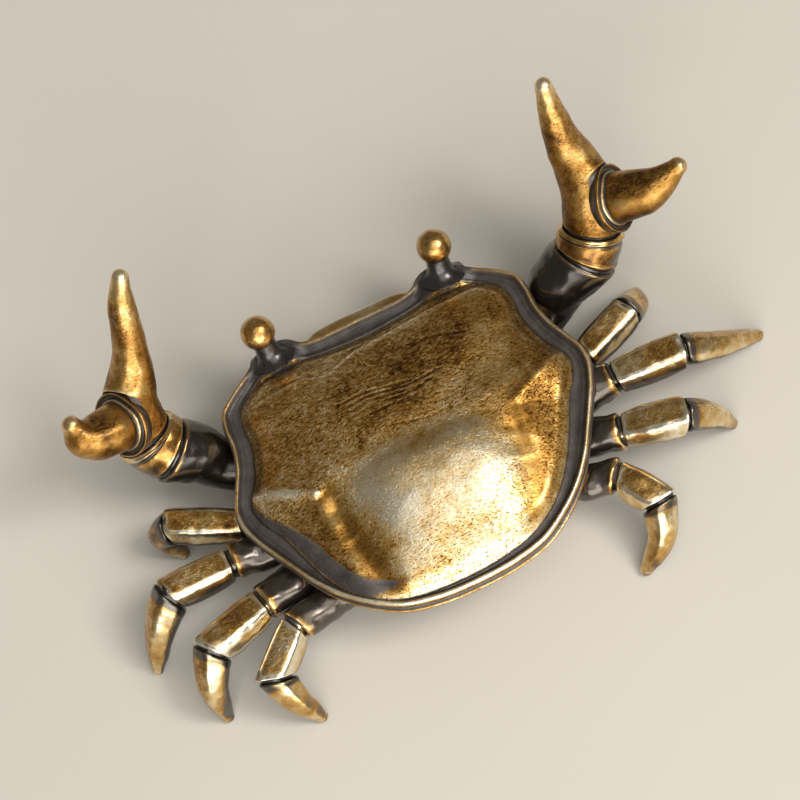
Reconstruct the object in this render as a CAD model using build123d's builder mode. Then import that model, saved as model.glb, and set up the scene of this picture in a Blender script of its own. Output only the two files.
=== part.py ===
"""Brass crab figurine on eight legs with both claws raised. Millimetres, +Z up, standing on z = 0.

X runs across the crab, positive to its right. Y runs forward, towards the claws. The origin is on the ground
under the middle of the whole figurine. Each limb is a chain of castings: the outer one of each pair has a neck
and a spigot that sits in a socket of the inner one.
"""

from build123d import *
from math import radians, tan
import os

os.makedirs("parts", exist_ok=True)

# Driving dimensions of the whole figurine
shell_width = 35.2
shell_length = 29.0
shell_height = 8.0  # top of the rim above the ground
half_width = shell_width / 2

# Fits and cuts
braze_gap = 0.05  # between a spigot or root and the wall of its socket
overrun = 6.0  # how far a cutter runs past the metal it cuts
groove_width = 0.45  # length of bare neck that shows in each limb joint

# Carapace
rim_thickness = 0.9
rim_wall = 0.62
rim_bevel = 0.22  # worn bevel on both top edges of the rim
moat_depth = 0.45
dome_rise = 2.9  # top of the dome above the rim
boss_rise = 3.7  # top of the raised boss above the rim

# Underbody
plate_thickness = 0.9
plate_inset = 0.3  # how far the plate's edge stays inside the rim
brow_half_width = 6.4
brow_tip_half_width = 4.6
brow_y_share = 0.422  # front of the brow, as a share of the shell's length
belly_clearance = 1.9  # belly above the ground
seam_width = 0.4
seam_depth = 0.3
seam_length = 6.5
seam_x_share = 0.43
seam_y_shares = (-0.10, -0.21, -0.31)
seam_angles = (6, -6, -18)

# Abdomen flap
flap_rear_width = 9.0
flap_tip_width = 3.4
flap_length = 12.5
flap_thickness = 0.7
flap_corner_radius = 1.0
flap_fold_count = 5
fold_width = 0.3
fold_depth = 0.2

# Eyes
eye_ball_radius = 1.6
eye_neck_radius = 1.2
eye_foot_radius = 1.55
eye_neck_start_share = 0.42  # where the foot's flare ends on the way to the ball
eye_neck_end_share = 0.85

# Arms: radii from the shell outward, as shares of the largest
arm_radius = 3.0
arm_radius_shares = (0.667, 0.783, 0.933, 1.0)
wrist_foot_radius = 3.1
wrist_end_radius = 2.85
palm_radius = 2.85
palm_radius_shares = (0.965, 1.0, 0.72, 0.456, 0.218)
finger_tip_radius = palm_radius * palm_radius_shares[-1]
arm_spigot_radius = 2.2
arm_spigot_length = 0.7

# Thumbs
thumb_radius = 2.2
thumb_radius_shares = (1.0, 0.9, 0.36)
thumb_socket_room = 0.25  # between the thumb and the wall of the recess it stands in
thumb_spigot_radius = 1.2
thumb_spigot_length = 0.6
collar_width = 0.3
collar_height = 0.14

# Legs: radii for the four legs of a side, front to back, as shares of one radius
leg_radius = 1.8
root_hip_radius = 1.15
root_end_radius_shares = (0.833, 0.861, 0.889, 0.806)
shank_foot_radius_shares = (0.889, 0.917, 0.944, 0.833)
shank_mid_radius_shares = (1.0, 1.0, 1.056, 0.944)
shank_end_radius_shares = (0.972, 0.944, 1.0, 0.889)
toe_foot_radius_shares = (0.889, 0.917, 0.944, 0.861)
toe_mid_radius_shares = (0.767, 0.789, 0.822, 0.733)
toe_tip_radius = 0.62
toe_flat_depth = 0.14  # worn flat under each toe
neck_step = 0.5  # neck radius below the radius of the piece it carries
leg_spigot_length = 0.6
neck_root = 0.45  # how far a neck runs into its own piece
shank_flat_share = 0.78  # height of the filed flat above the shank's axis, as a share of its radius

# Places are shares of the shell's half width, its length and its height, measured from the middle of the shell
eye_foot_share = (0.469, 0.372)
eye_ball_share = (0.511, 0.441, 1.312)
dome_centre_share = -0.1
flap_rear_share = -0.43

hip_shares = (
    (0.659, -0.041, 0.538),
    (0.648, -0.166, 0.531),
    (0.591, -0.266, 0.512),
    (0.494, -0.376, 0.488),
)

# Legs from front to back: end of the root, knee, middle of the toe, and the toe's tip on the ground
leg_shares = {
    "left": (
        ((-0.977, -0.052, 0.575), (-1.324, 0.048, 0.625), (-1.403, 0.062, 0.390), (-1.352, 0.018)),
        ((-1.114, -0.162, 0.700), (-1.460, -0.179, 0.825), (-1.602, -0.241, 0.525), (-1.716, -0.303)),
        ((-1.051, -0.328, 0.675), (-1.381, -0.403, 0.800), (-1.466, -0.486, 0.500), (-1.477, -0.548)),
        ((-0.949, -0.434, 0.650), (-1.153, -0.559, 0.625), (-1.131, -0.631, 0.375), (-1.034, -0.683)),
    ),
    "right": (
        ((0.977, -0.031, 0.575), (1.261, 0.038, 0.625), (1.341, 0.090, 0.375), (1.375, 0.152)),
        ((1.062, -0.152, 0.700), (1.432, -0.179, 0.825), (1.636, -0.183, 0.525), (1.847, -0.159)),
        ((0.983, -0.321, 0.675), (1.290, -0.376, 0.800), (1.415, -0.379, 0.500), (1.517, -0.390)),
        ((0.858, -0.448, 0.650), (0.994, -0.576, 0.625), (0.932, -0.659, 0.375), (0.790, -0.707)),
    ),
}
widest_leg = 1  # the second leg of each side reaches out furthest

# For each arm: root in the body, shell edge, middle, elbow, wrist, palm, then low, middle and tip of the finger
arm_shares = {
    "left": (
        (-0.648, 0.083, 0.500),
        (-0.966, 0.179, 0.550),
        (-1.051, 0.224, 0.738),
        (-1.170, 0.252, 0.950),
        (-1.250, 0.303, 1.200),
        (-1.239, 0.369, 1.562),
        (-1.153, 0.466, 1.938),
        (-1.071, 0.562, 2.350),
        (-0.972, 0.628, 2.750),
    ),
    "right": (
        (0.648, 0.103, 0.500),
        (0.949, 0.193, 0.550),
        (1.034, 0.221, 0.725),
        (1.210, 0.234, 0.950),
        (1.301, 0.283, 1.200),
        (1.358, 0.338, 1.562),
        (1.347, 0.441, 1.938),
        (1.341, 0.528, 2.350),
        (1.369, 0.593, 2.750),
    ),
}

# For each thumb: foot in the palm, middle and tip
thumb_shares = {
    "left": ((-1.324, 0.316, 1.613), (-1.460, 0.286, 1.775), (-1.528, 0.338, 2.000)),
    "right": ((1.460, 0.278, 1.675), (1.608, 0.247, 1.831), (1.807, 0.241, 2.000)),
}

# Right half of the shell's outline: the eye lug, then the rim round to the back, then the dome's foot
lug_shares = ((0.307, 0.383), (0.386, 0.424), (0.562, 0.428), (0.625, 0.379))
rim_shares = (
    (0.625, 0.379), (0.693, 0.355), (0.790, 0.314), (0.852, 0.283), (0.875, 0.228), (0.878, 0.159),
    (0.903, 0.090), (0.955, 0.021), (0.994, -0.041), (0.997, -0.093), (0.966, -0.159), (0.909, -0.228),
    (0.847, -0.297), (0.767, -0.383), (0.665, -0.466), (0.551, -0.528), (0.415, -0.579), (0.244, -0.607),
    (0.0, -0.617),
)
dome_shares = (
    (0.0, 0.321), (0.233, 0.329), (0.472, 0.347), (0.591, 0.338), (0.676, 0.307), (0.756, 0.259),
    (0.776, 0.197), (0.773, 0.138), (0.795, 0.086), (0.830, 0.028), (0.881, -0.024), (0.901, -0.066),
    (0.875, -0.110), (0.801, -0.172), (0.727, -0.255), (0.636, -0.345), (0.489, -0.448), (0.324, -0.510),
    (0.148, -0.538), (0.0, -0.545),
)

# Levels of the dome and of the belly: height as a share of the rise, size as a share of the dome's foot
dome_level_shares = ((0.0, 1.0), (0.18, 0.965), (0.55, 0.83), (0.85, 0.62), (1.0, 0.36))
belly_level_shares = ((0.0, 0.76), (0.22, 0.90), (0.6, 0.985), (1.0, 1.0))

# Levels of the boss: height as a share of its rise, then its middle, half width and half length as shares of the
# shell's half width and length. Its top lies forward of its foot, so it slopes down to the back.
boss_level_shares = (
    (0.0, -0.310, 0.53, 0.215),
    (0.5, -0.293, 0.51, 0.190),
    (0.86, -0.262, 0.43, 0.135),
    (1.0, -0.235, 0.27, 0.070),
)

# The figurine's middle, halfway between its outermost toes and between fingertip and hind toe
reach_right = leg_shares["right"][widest_leg][-1][0] * half_width + toe_tip_radius
reach_left = leg_shares["left"][widest_leg][-1][0] * half_width - toe_tip_radius
reach_front = arm_shares["left"][-1][1] * shell_length + finger_tip_radius
reach_back = leg_shares["right"][-1][-1][1] * shell_length - toe_tip_radius
middle_x = (reach_right + reach_left) / 2
middle_y = (reach_front + reach_back) / 2

plate_top = shell_height - rim_thickness
plate_foot = plate_top - plate_thickness
moat_floor = shell_height - moat_depth
sides = ("left", "right")


def place(share):
    """Point of the figurine for shares of the shell's half width, length and height."""
    across, along, up = share
    return Vector(across * half_width - middle_x, along * shell_length - middle_y, up * shell_height)


def flat_point(share):
    """Point of the shell's outline for shares of its half width and length."""
    return (share[0] * half_width - middle_x, share[1] * shell_length - middle_y)


def mirrored(share):
    """The same share on the other side of the crab."""
    return (-share[0], *share[1:])


def joint_plane(before, joint, after):
    """Plane through a joint that halves its bend, facing outward along the limb."""
    inward = (joint - before).normalized()
    outward = (after - joint).normalized()
    return Plane(origin=joint, z_dir=inward + outward)


def beyond(start, end, plane, radius):
    """Point past the end of a bar, far enough for a tilted plane to cut all round it."""
    direction = (end - start).normalized()
    tilt = radians(direction.get_angle(plane.z_dir))
    return end + direction * (radius * tan(tilt) + groove_width)


def limb(points, radii, mode=Mode.ADD, rounded=False):
    """Adds or cuts a limb lofted through round sections that stand square to its path, if asked with a round tip."""
    middle = points[len(points) // 2]
    bend = (middle - points[0]).cross(points[-1] - middle)
    if bend.length < braze_gap:
        bend = (points[-1] - points[0]).cross(Vector(0, 0, 1))
    sections = []
    for index, radius in enumerate(radii):
        ahead = points[min(index + 1, len(points) - 1)]
        behind = points[max(index - 1, 0)]
        with BuildSketch(Plane(origin=points[index], x_dir=bend, z_dir=ahead - behind)) as section:
            Circle(radius)
        sections.append(section.sketch)
    loft(sections, mode=mode)
    if rounded:
        with Locations(Plane(origin=points[-1], x_dir=bend, z_dir=points[-1] - points[-2])):
            Sphere(radii[-1], arc_size1=0, align=(Align.CENTER, Align.CENTER, Align.MIN))


def bar(plane, radius, length, mode=Mode.ADD):
    """Adds or cuts a round bar that stands on a plane."""
    with BuildSketch(plane) as section:
        Circle(radius)
    extrude(section.sketch, amount=length, mode=mode)


def socket(joint, radius, length):
    """Cuts a socket into the piece on the inner side of a joint."""
    bar(joint.offset(-length - braze_gap), radius + braze_gap, length + braze_gap + overrun, Mode.SUBTRACT)


def spigot(joint, radius, length, root):
    """Adds a neck that runs from the neighbour's socket across the groove into the piece's own metal."""
    bar(joint.offset(-length), radius, length + groove_width + root)


def rim_face(height, inset):
    """The rim's outline at a height, each of its points drawn in square to the line between its neighbours."""
    rim = [*rim_shares, *(mirrored(share) for share in reversed(rim_shares[:-1]))]
    lugs = [*(mirrored(share) for share in reversed(lug_shares)), *lug_shares]
    loop = [Vector(*flat_point(share)) for share in rim + lugs[1:-1]]
    drawn = []
    for index, point in enumerate(loop):
        along = (loop[(index + 1) % len(loop)] - loop[index - 1]).normalized()
        drawn.append(point + Vector(along.Y, -along.X) * inset)
    with BuildSketch(Plane.XY.offset(height)) as outline:
        with BuildLine():
            Spline(drawn[:len(rim)])
            Polyline([*drawn[len(rim) - 1:], drawn[0]])
        make_face()
    return outline.sketch


def dome_face(height, size):
    """The outline of the dome's foot, scaled about the dome's middle and lifted to a height."""
    half = []
    for across, along in dome_shares:
        half.append((across * size, dome_centre_share + (along - dome_centre_share) * size))
    loop = half + [mirrored(share) for share in reversed(half[1:-1])]
    with BuildSketch(Plane.XY.offset(height)) as outline:
        with BuildLine():
            Spline([flat_point(share) for share in loop], periodic=True)
        make_face()
    return outline.sketch


def boss_face(height, centre, across, along):
    """An ellipse of the raised boss at a height."""
    with BuildSketch(Plane.XY.offset(height)) as outline:
        with Locations(flat_point((0, centre))):
            Ellipse(across * half_width, along * shell_length)
    return outline.sketch


def finish(piece, name):
    """Names a finished piece and writes its file."""
    piece.part.label = name
    export_step(piece.part, f"parts/{name}.step")


# Limb forms that the body's pockets repeat
pocket_limbs = []

# Legs: root, shank and toe, cut on the planes of their joints
for side in sides:
    for leg, shares in enumerate(leg_shares[side]):
        name = f"{side}_leg_{leg + 1}"
        sign = -1 if side == "left" else 1
        root_end, knee, bow = (place(share) for share in shares[:3])
        hip = place((sign * hip_shares[leg][0], *hip_shares[leg][1:]))
        tip = place((*shares[3], 0)) + Vector(0, 0, toe_tip_radius - toe_flat_depth)
        root_radius = leg_radius * root_end_radius_shares[leg]
        foot_radius = leg_radius * shank_foot_radius_shares[leg]
        mid_radius = leg_radius * shank_mid_radius_shares[leg]
        end_radius = leg_radius * shank_end_radius_shares[leg]
        toe_radius = leg_radius * toe_foot_radius_shares[leg]
        toe_mid_radius = leg_radius * toe_mid_radius_shares[leg]
        root_joint = joint_plane(hip, root_end, knee)
        knee_joint = joint_plane(root_end, knee, bow)
        root_limb = (hip, beyond(hip, root_end, root_joint, root_radius))
        root_radii = (root_hip_radius, root_radius)
        pocket_limbs.append((root_limb, root_radii))

        with BuildPart() as leg_root:
            limb(root_limb, root_radii)
            split(bisect_by=root_joint, keep=Keep.BOTTOM)
            socket(root_joint, foot_radius - neck_step, leg_spigot_length)
        finish(leg_root, f"{name}_root")

        shank_start = beyond(knee, root_end, joint_plane(knee, root_end, hip), foot_radius)
        shank_end = beyond(root_end, knee, knee_joint, end_radius)
        along = (knee - root_end).normalized()
        upward = (along.cross(Vector(0, 0, 1))).cross(along).normalized()
        flat_height = mid_radius * shank_flat_share
        flat_plane = Plane(origin=knee + upward * flat_height, z_dir=upward)
        with BuildPart() as leg_shank:
            limb(
                (shank_start, (root_end + knee) / 2, shank_end),
                (foot_radius, mid_radius, end_radius),
            )
            split(bisect_by=root_joint.offset(groove_width), keep=Keep.TOP)
            split(bisect_by=knee_joint, keep=Keep.BOTTOM)
            split(bisect_by=flat_plane, keep=Keep.BOTTOM)
            spigot(root_joint, foot_radius - neck_step, leg_spigot_length, neck_root)
            socket(knee_joint, toe_radius - neck_step, leg_spigot_length)
        finish(leg_shank, f"{name}_shank")

        toe_start = beyond(bow, knee, joint_plane(bow, knee, root_end), toe_radius)
        with BuildPart() as leg_toe:
            limb((toe_start, bow, tip), (toe_radius, toe_mid_radius, toe_tip_radius), rounded=True)
            split(bisect_by=knee_joint.offset(groove_width), keep=Keep.TOP)
            split(bisect_by=Plane.XY, keep=Keep.TOP)
            spigot(knee_joint, toe_radius - neck_step, leg_spigot_length, neck_root)
        finish(leg_toe, f"{name}_toe")

# Arms: upper arm, wrist, palm with its finger, and thumb
arm_radii = [arm_radius * share for share in arm_radius_shares]
palm_radii = [palm_radius * share for share in palm_radius_shares]
thumb_radii = [thumb_radius * share for share in thumb_radius_shares]
for side in sides:
    path = [place(share) for share in arm_shares[side]]
    elbow, wrist_end, palm_middle = path[3:6]
    elbow_joint = joint_plane(path[2], elbow, wrist_end)
    wrist_joint = joint_plane(elbow, wrist_end, palm_middle)
    arm_path = (*path[:3], beyond(path[2], elbow, elbow_joint, arm_radii[-1]))
    pocket_limbs.append((arm_path, arm_radii))

    with BuildPart() as arm:
        limb(arm_path, arm_radii)
        split(bisect_by=elbow_joint, keep=Keep.BOTTOM)
        socket(elbow_joint, arm_spigot_radius, arm_spigot_length)
    finish(arm, f"{side}_arm")

    wrist_start = beyond(wrist_end, elbow, joint_plane(wrist_end, elbow, path[2]), wrist_foot_radius)
    wrist_past = beyond(elbow, wrist_end, wrist_joint, wrist_end_radius)
    with BuildPart() as wrist:
        limb((wrist_start, wrist_past), (wrist_foot_radius, wrist_end_radius))
        split(bisect_by=elbow_joint.offset(groove_width), keep=Keep.TOP)
        split(bisect_by=wrist_joint, keep=Keep.BOTTOM)
        spigot(elbow_joint, arm_spigot_radius, arm_spigot_length, neck_root)
        socket(wrist_joint, arm_spigot_radius, arm_spigot_length)
    finish(wrist, f"{side}_wrist")

    thumb_path = [place(share) for share in thumb_shares[side]]
    thumb_joint = Plane(origin=thumb_path[0], z_dir=thumb_path[1] - thumb_path[0])
    palm_start = beyond(palm_middle, wrist_end, joint_plane(palm_middle, wrist_end, elbow), palm_radii[0])
    with BuildPart() as palm:
        limb((palm_start, *path[5:]), palm_radii, rounded=True)
        split(bisect_by=wrist_joint.offset(groove_width), keep=Keep.TOP)
        spigot(wrist_joint, arm_spigot_radius, arm_spigot_length, neck_root)
        limb(thumb_path, [radius + thumb_socket_room for radius in thumb_radii], Mode.SUBTRACT)
        socket(thumb_joint, thumb_spigot_radius, thumb_spigot_length)
    finish(palm, f"{side}_palm")

    with BuildPart() as thumb:
        limb(thumb_path, thumb_radii, rounded=True)
        bar(thumb_joint, thumb_radii[0] + collar_height, collar_width)
        bar(thumb_joint.offset(-thumb_spigot_length), thumb_spigot_radius, thumb_spigot_length + neck_root)
    finish(thumb, f"{side}_thumb")

# Carapace: rim plate, moat, dome, raised boss and the seats of the eyes
dome_height = shell_height + dome_rise - moat_floor
boss_height = shell_height + boss_rise - moat_floor
with BuildPart() as carapace:
    extrude(rim_face(plate_top, 0), amount=rim_thickness - rim_bevel)
    loft([rim_face(shell_height - rim_bevel, 0), rim_face(shell_height, rim_bevel)], ruled=True)
    extrude(rim_face(moat_floor, rim_wall), amount=overrun, mode=Mode.SUBTRACT)
    loft(
        [rim_face(shell_height - rim_bevel, rim_wall), rim_face(shell_height, rim_wall - rim_bevel)],
        ruled=True,
        mode=Mode.SUBTRACT,
    )
    loft([dome_face(moat_floor + share * dome_height, size) for share, size in dome_level_shares])
    loft([boss_face(moat_floor + share * boss_height, *size) for share, *size in boss_level_shares])
    for sign in (-1, 1):
        across, along = flat_point((sign * eye_foot_share[0], eye_foot_share[1]))
        seat = Plane(origin=(across, along, moat_floor))
        bar(seat, eye_foot_radius + braze_gap, overrun, Mode.SUBTRACT)
finish(carapace, "carapace")

# Underbody: plate under the rim with the brow, belly, and a pocket for each limb
belly_height = plate_foot - belly_clearance
with BuildPart() as underbody:
    extrude(rim_face(plate_foot, plate_inset), amount=plate_thickness)
    with BuildSketch(Plane.XY.offset(plate_foot)) as brow:
        with BuildLine():
            front = brow_y_share * shell_length - middle_y
            Polyline(
                (-brow_half_width - middle_x, -middle_y),
                (-brow_half_width - middle_x, front - plate_thickness),
                (-brow_tip_half_width - middle_x, front),
                (brow_tip_half_width - middle_x, front),
                (brow_half_width - middle_x, front - plate_thickness),
                (brow_half_width - middle_x, -middle_y),
                close=True,
            )
        make_face()
    extrude(brow.sketch, amount=plate_thickness)
    loft([dome_face(belly_clearance + share * belly_height, size) for share, size in belly_level_shares])
    with BuildSketch(Plane.XY.offset(belly_clearance)) as seams:
        for along, angle in zip(seam_y_shares, seam_angles):
            for sign in (-1, 1):
                with Locations(Location(flat_point((sign * seam_x_share, along)), sign * angle)):
                    Rectangle(seam_length, seam_width)
    extrude(seams.sketch, amount=seam_depth, mode=Mode.SUBTRACT)
    for points, radii in pocket_limbs:
        back = (points[0] - points[1]).normalized() * braze_gap
        limb((points[0] + back, *points[1:]), [radius + braze_gap for radius in radii], Mode.SUBTRACT)
finish(underbody, "underbody")

# Abdomen flap: a folded tongue that narrows forward, with a groove between each two folds
rear = flap_rear_share * shell_length - middle_y
fold_pitch = flap_length / (flap_fold_count + 1)
with BuildPart() as abdomen_flap:
    with BuildSketch(Plane.XY.offset(belly_clearance - flap_thickness)):
        with BuildLine():
            Polyline(
                (-flap_rear_width / 2 - middle_x, rear),
                (flap_rear_width / 2 - middle_x, rear),
                (flap_tip_width / 2 - middle_x, rear + flap_length),
                (-flap_tip_width / 2 - middle_x, rear + flap_length),
                close=True,
            )
        make_face()
        fillet(vertices(), flap_corner_radius)
    extrude(amount=flap_thickness)
    with BuildSketch(Plane.XY.offset(belly_clearance - flap_thickness)):
        with Locations((-middle_x, rear + flap_length / 2)):
            with GridLocations(0, fold_pitch, 1, flap_fold_count):
                Rectangle(flap_rear_width, fold_width)
    extrude(amount=fold_depth, mode=Mode.SUBTRACT)
finish(abdomen_flap, "abdomen_flap")

# Eyes: a flared foot in its seat, a leaning neck and the ball
for side in sides:
    sign = -1 if side == "left" else 1
    across, along = flat_point((sign * eye_foot_share[0], eye_foot_share[1]))
    foot = Vector(across, along, shell_height)
    ball = place((sign * eye_ball_share[0], *eye_ball_share[1:]))
    lean = ball - foot
    neck_plane = Plane(origin=foot + lean * eye_neck_start_share, x_dir=(1, 0, 0), z_dir=lean)
    ball_plane = Plane(origin=foot + lean * eye_neck_end_share, x_dir=(1, 0, 0), z_dir=lean)
    with BuildPart() as eye:
        bar(Plane(origin=(across, along, moat_floor)), eye_foot_radius, moat_depth)
        with BuildSketch(Plane(origin=foot)) as flare:
            Circle(eye_foot_radius)
        with BuildSketch(neck_plane) as neck:
            Circle(eye_neck_radius)
        with BuildSketch(ball_plane) as collar:
            Circle(eye_neck_radius)
        loft([flare.sketch, neck.sketch, collar.sketch])
        with Locations(Plane(origin=ball, x_dir=(1, 0, 0), z_dir=lean)):
            Sphere(eye_ball_radius)
    finish(eye, f"{side}_eye")
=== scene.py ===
"""Looks of the antique brass crab: every visible casting as a worked surface, with patina and worn brass.

Lengths are millimetres in the crab's own frame: x to its right, y forward, z up from the ground, with the
shell's middle at x = 0. The meshes are moved to the record's frame and scaled to metres when made.
"""

import math

import bpy
import numpy as np
from mathutils import Matrix


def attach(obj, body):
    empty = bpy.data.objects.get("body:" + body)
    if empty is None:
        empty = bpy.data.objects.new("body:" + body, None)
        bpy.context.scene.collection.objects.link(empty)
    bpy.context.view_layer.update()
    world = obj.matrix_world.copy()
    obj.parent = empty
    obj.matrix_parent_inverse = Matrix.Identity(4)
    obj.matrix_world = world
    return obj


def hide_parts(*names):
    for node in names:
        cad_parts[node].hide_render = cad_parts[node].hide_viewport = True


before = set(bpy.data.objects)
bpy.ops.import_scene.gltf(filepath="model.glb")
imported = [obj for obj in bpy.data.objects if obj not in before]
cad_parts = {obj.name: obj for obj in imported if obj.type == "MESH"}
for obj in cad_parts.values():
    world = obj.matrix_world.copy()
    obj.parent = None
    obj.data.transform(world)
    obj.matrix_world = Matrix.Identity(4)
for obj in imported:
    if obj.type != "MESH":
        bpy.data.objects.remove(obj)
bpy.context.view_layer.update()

MILLIMETRE = 0.001
MIDDLE = np.array([1.1528, -1.1448, 0.0])  # middle of the record's frame, in the crab's own
TOE_HEIGHT = 0.48
RIM_FOOT = 7.1
MOAT_FLOOR = 7.55
SHELL_CENTRE = np.array([0.0, -3.0])
CLOSED = 0.02  # radius of the ring that closes an end
NEAR_POLE = 0.985  # share of the quarter turn at which a rounded tip stops


def both(left, right):
    """A table of points for each side."""
    return {"left": np.array(left), "right": np.array(right)}


# Right half of the rim with its eye lug, of the brow and of the dome's foot, from front to back
RIM_HALF = np.array([
    (0.0, 11.1), (2.4, 11.1), (4.5, 11.15), (5.6, 11.45), (6.5, 12.1), (7.6, 12.45), (8.9, 12.4), (9.8, 12.0),
    (10.6, 11.35), (12.2, 10.4), (13.9, 9.25), (15.0, 8.2), (15.4, 6.6), (15.45, 4.6), (15.9, 2.6),
    (16.8, 0.6), (17.5, -1.2), (17.55, -2.7), (17.0, -4.6), (16.0, -6.6), (14.9, -8.6), (13.5, -11.1),
    (11.7, -13.5), (9.7, -15.3), (7.3, -16.8), (4.3, -17.6), (0.0, -17.9),
])
BROW_HALF = np.array([
    (0.0, 12.15), (2.4, 12.15), (4.0, 12.05), (5.0, 11.7), (5.8, 11.1), (6.6, 10.2), (6.8, 8.0), (6.6, 0.0),
    (5.0, -6.0), (0.0, -8.0),
])
DOME_HALF = np.array([
    (0.0, 9.3), (4.1, 9.55), (8.3, 10.05), (10.4, 9.8), (11.9, 8.9), (13.3, 7.5), (13.65, 5.7), (13.6, 4.0),
    (14.0, 2.5), (14.6, 0.8), (15.5, -0.7), (15.9, -1.9), (15.5, -3.3), (14.35, -5.15), (13.2, -7.6),
    (11.7, -10.4), (9.2, -13.5), (6.2, -15.4), (2.8, -16.25), (0.0, -16.45),
])

# Legs from the front back: the right hips, then for each leg its root end, knee, bow of the toe and toe tip
HIPS = np.array([(11.6, -1.2, 4.3), (11.4, -4.8, 4.25), (10.4, -7.7, 4.1), (8.7, -10.9, 3.9)])
LEGS = both(
    [
        [(-17.2, -1.5, 4.6), (-23.3, 1.4, 5.0), (-24.7, 1.8, 3.12), (-23.8, 0.52, TOE_HEIGHT)],
        [(-19.6, -4.7, 5.6), (-25.7, -5.2, 6.6), (-28.2, -7.0, 4.2), (-30.2, -8.8, TOE_HEIGHT)],
        [(-18.5, -9.5, 5.4), (-24.3, -11.7, 6.4), (-25.8, -14.1, 4.0), (-26.0, -15.9, TOE_HEIGHT)],
        [(-16.7, -12.6, 5.2), (-20.3, -16.2, 5.0), (-19.5, -18.1, 3.1), (-18.2, -19.8, TOE_HEIGHT)],
    ],
    [
        [(17.2, -0.9, 4.6), (22.2, 1.1, 5.0), (23.6, 2.6, 3.0), (24.2, 4.4, TOE_HEIGHT)],
        [(18.7, -4.4, 5.6), (25.2, -5.2, 6.6), (28.8, -5.3, 4.2), (32.5, -4.6, TOE_HEIGHT)],
        [(17.3, -9.3, 5.4), (22.7, -10.9, 6.4), (24.9, -11.0, 4.0), (26.7, -11.3, TOE_HEIGHT)],
        [(15.1, -13.0, 5.2), (17.5, -16.7, 5.0), (16.4, -19.1, 3.0), (13.9, -20.5, TOE_HEIGHT)],
    ],
)
ROOT_RADII = (1.5, 1.55, 1.6, 1.45)
SHANK_RADII = ((1.62, 1.8, 1.76), (1.68, 1.86, 1.78), (1.72, 1.94, 1.86), (1.54, 1.76, 1.68))
TOE_RADII = {
    "left": ((1.65, 1.4), (1.8, 1.45), (1.74, 1.45), (1.58, 1.32)),
    "right": ((1.65, 1.4), (1.5, 1.25), (1.6, 1.4), (1.6, 1.3)),
}
# How far up a shank's skin faces where the patina and painted shade are full and where they end
PATINA_AND_SHADE_LEANS = ((-0.1, 0.60), (0.15, 0.76), (-0.25, 0.36), (-0.25, 0.40))

# Arms: root, shell edge, middle, elbow and wrist; fingers: palm, then up to the tip, with their radii
ARMS = both(
    [(-11.4, 2.4, 4.0), (-17.0, 5.2, 4.4), (-18.5, 6.5, 5.9), (-20.6, 7.3, 7.6), (-22.0, 8.8, 9.6)],
    [(11.4, 3.0, 4.0), (16.7, 5.6, 4.4), (18.2, 6.4, 5.8), (21.3, 6.8, 7.6), (22.9, 8.2, 9.6)],
)
FINGERS = both(
    [
        (-21.8, 10.7, 12.5), (-20.7, 12.3, 13.9), (-19.7, 13.6, 15.8), (-19.0, 14.9, 17.6),
        (-18.3, 16.55, 19.7), (-17.3, 18.0, 21.75),
    ],
    [
        (23.9, 9.8, 12.5), (23.9, 12.3, 14.9), (23.7, 13.5, 16.2), (23.6, 14.4, 17.6),
        (23.7, 15.4, 19.1), (23.95, 17.0, 21.8),
    ],
)
FINGER_RADII = {
    "left": (2.7, 2.65, 2.25, 1.68, 1.45, 1.27, 0.80),
    "right": (2.7, 2.7, 2.15, 1.85, 1.52, 1.32, 0.76),
}
THUMBS = both(
    [(-23.3, 9.15, 12.9), (-24.3, 8.65, 13.8), (-25.7, 8.4, 14.5), (-26.8, 8.6, 15.8), (-26.95, 9.3, 17.0)],
    [(25.7, 8.05, 13.4), (26.9, 7.4, 14.1), (28.4, 6.8, 14.7), (30.2, 6.7, 15.4), (31.8, 7.0, 16.0)],
)
THUMB_RADII = {"left": (2.35, 2.3, 2.15, 1.65, 0.80), "right": (2.35, 2.3, 2.1, 1.4, 0.76)}

# Foot of a thumb: distance along it, radius beyond the horn's, worn mark, recessed mark
SOCKET = np.array([
    (-0.98, 0.60, 0.0, 0.6), (-0.30, 0.78, 0.0, 0.4), (-0.02, 0.80, 0.0, 0.2), (0.05, 0.74, 0.12, 0.1),
    (0.03, 0.65, 0.1, 0.3), (-0.10, 0.56, 0.0, 0.8), (-0.24, 0.42, 0.0, 0.8), (-0.26, 0.26, 0.0, 0.8),
    (-0.12, 0.16, 0.0, 0.6), (0.04, 0.17, 0.3, 0.0), (0.12, 0.13, 0.3, 0.0), (0.18, 0.02, 0.0, 0.6),
    (0.26, -0.06, 0.0, 0.7), (0.36, -0.04, 0.0, 0.3),
])

# Eyes: middle of the foot on the shell's lug and middle of the ball
EYES = both(
    [(-8.5, 11.2, 7.7), (-8.7, 12.75, 10.5)],
    [(8.75, 11.35, 7.7), (9.2, 12.95, 10.5)],
)


# Number helpers
def smooth(value, low, high):
    """Rises from 0 at low to 1 at high along a cubic with level ends."""
    share = np.clip((value - low) / (high - low), 0.0, 1.0)
    return share * share * (3.0 - 2.0 * share)


def bump(value, middle, width):
    """A bell that is 1 at the middle and falls off over the width."""
    return np.exp(-(((value - middle) / width) ** 2))


def unit(vectors):
    """The same directions at length one."""
    return vectors / np.maximum(np.linalg.norm(vectors, axis=-1, keepdims=True), 1e-9)


def near_segment(points, start, end, width):
    """A bell round a straight segment that fades out past both of its ends."""
    start, end = np.array(start, float), np.array(end, float)
    way = end - start
    held = np.clip((points - start) @ way / (way @ way), 0.0, 1.0)
    return bump(np.linalg.norm(points - start - held[..., None] * way, axis=-1), 0.0, width)


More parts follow.
